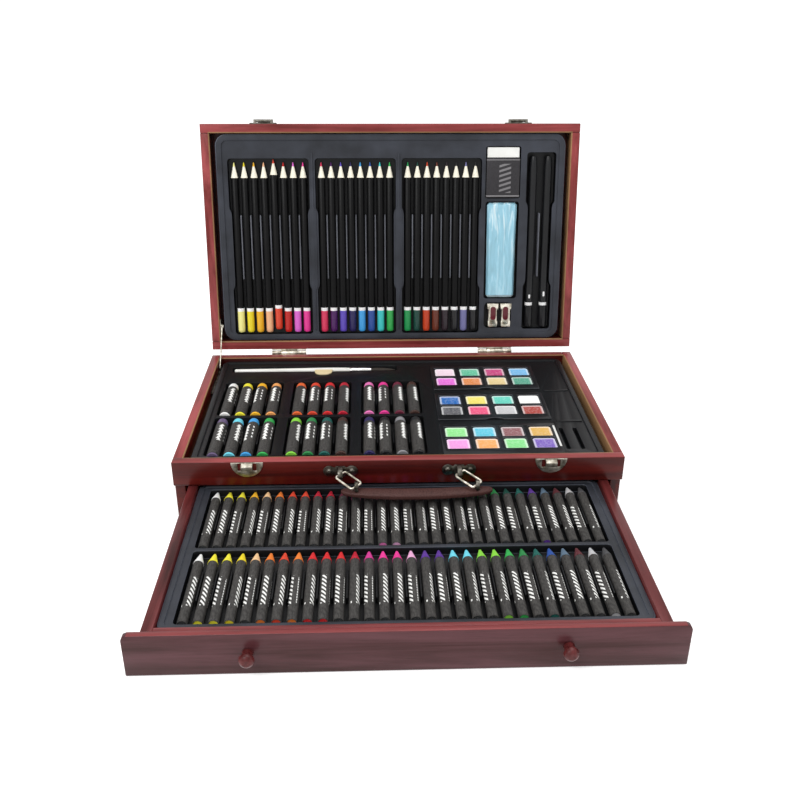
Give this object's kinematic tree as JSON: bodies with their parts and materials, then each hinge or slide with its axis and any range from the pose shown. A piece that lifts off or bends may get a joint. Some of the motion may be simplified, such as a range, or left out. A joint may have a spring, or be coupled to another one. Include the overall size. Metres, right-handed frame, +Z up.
{
  "type": "pencil drawer box",
  "caption": "Wooden drawing-set case with a hinged lid of pencils, a fitted tray of pastels and paints, a pull-out drawer of crayons, a drop handle and latches.",
  "frame": {"origin": "centre of the case's footprint, on the surface that it stands on", "axes": "+X to the right seen from the front, +Y to the hinges at the back, +Z up"},
  "size_m": [0.382, 0.4985, 0.2911],
  "materials": {
    "mahogany": "satin lacquered mahogany-stained wood",
    "drawer_wood": "thinly stained wood",
    "panel_wood": "unfinished thin wood panel",
    "tray_plastic": "satin thermoformed sheet",
    "pastel_wrap": "matt paper sleeve",
    "crayon_wrap": "matt paper sleeve",
    "pencil_lacquer": "black lacquered wood",
    "brush_white": "white lacquered wood",
    "brush_metal": "polished ferrule",
    "brush_hair": "black hair",
    "palette_black": "gloss moulded palette",
    "paint": "dry watercolour",
    "nickel": "bright nickel plate",
    "screw_steel": "plated steel",
    "grip_leather": "brown leatherette",
    "rubber_white": "white rubber",
    "sleeve_card": "printed card sleeve, left plain",
    "wrap_blue": "clear film over a light blue soft block",
    "sharpener_metal": "bright metal",
    "blade_steel": "steel blade",
    "pen_black": "gloss black plastic"
  },
  "bodies": {
    "case": {"side_boards": "mahogany", "front_board": "mahogany", "back_board": "mahogany", "bottom_panel": "panel_wood", "shelf_panel": "panel_wood", "drawer_runners": "drawer_wood", "upper_tray": "tray_plastic", "pastels_back_row": "pastel_wrap", "pastels_front_row": "pastel_wrap", "brush_handle": "brush_white", "brush_ferrule": "brush_metal", "brush_bristles": "brush_hair", "paint_palettes": "palette_black", "paint_cakes": "paint", "hinge_case_leaves": "nickel", "hinge_pins": "nickel", "latch_keepers": "nickel", "handle_mounts": "nickel", "handle_screws": "screw_steel", "stay_ledge": "nickel"},
    "drawer": {"drawer_panel": "mahogany", "drawer_front_wall": "drawer_wood", "drawer_sides": "drawer_wood", "drawer_back_wall": "drawer_wood", "drawer_bottom": "panel_wood", "drawer_knobs": "mahogany", "drawer_tray": "tray_plastic", "crayons_front_row": "crayon_wrap", "crayons_back_row": "crayon_wrap"},
    "lid": {"lid_side_boards": "mahogany", "lid_front_board": "mahogany", "lid_back_board": "mahogany", "lid_panel": "mahogany", "lid_tray": "tray_plastic", "pencils_left": "pencil_lacquer", "pencils_middle": "pencil_lacquer", "pencils_right": "pencil_lacquer", "eraser_block": "rubber_white", "eraser_sleeve": "sleeve_card", "wrapped_putty": "wrap_blue", "sharpeners": "sharpener_metal", "sharpener_blades": "blade_steel", "pens": "pen_black", "pen_caps": "pen_black", "hinge_lid_leaves": "nickel", "latch_plates": "nickel", "stay_bracket": "nickel"},
    "left_hasp": {"hasp_left": "nickel"},
    "right_hasp": {"hasp_right": "nickel"},
    "rings": {"handle_rings": "nickel"},
    "grip": {"handle_grip": "grip_leather", "grip_eyes": "nickel"},
    "stay": {"stay_arm": "nickel"}
  },
  "joints": [
    {"name": "lid_hinge", "type": "hinge", "parent": "case", "child": "lid", "pos_m": [0, 0.119, 0.057], "axis": [1, 0, 0], "range_deg": [0, 100]},
    {"name": "drawer_slide", "type": "slide", "parent": "case", "child": "drawer", "axis": [0, 1, 0], "range_m": [0, 0.1892]},
    {"name": "left_hasp_swing", "type": "hinge", "parent": "lid", "child": "left_hasp", "pos_m": [-0.128, 0.16357, 0.28959], "axis": [1, 0, 0], "range_deg": [0, 180]},
    {"name": "right_hasp_swing", "type": "hinge", "parent": "lid", "child": "right_hasp", "pos_m": [0.128, 0.16357, 0.28959], "axis": [1, 0, 0], "range_deg": [0, 180]},
    {"name": "handle_swing", "type": "hinge", "parent": "case", "child": "rings", "pos_m": [0, -0.1214, 0.0475], "axis": [-1, 0, 0], "range_deg": [0, 88]},
    {"name": "grip_pivot", "type": "hinge", "parent": "rings", "child": "grip", "pos_m": [0.01364, -0.13571, 0.04446], "axis": [1, 0, 0], "range_deg": [-10, 20]},
    {"name": "stay_fold", "type": "hinge", "parent": "lid", "child": "stay", "pos_m": [-0.181, 0.12977, 0.08353], "axis": [1, 0, 0], "range_deg": [-130, 0]}
  ],
  "couplings": [
    {"joint": "stay_fold", "follows": "lid_hinge", "ratio": -1.291}
  ]
}
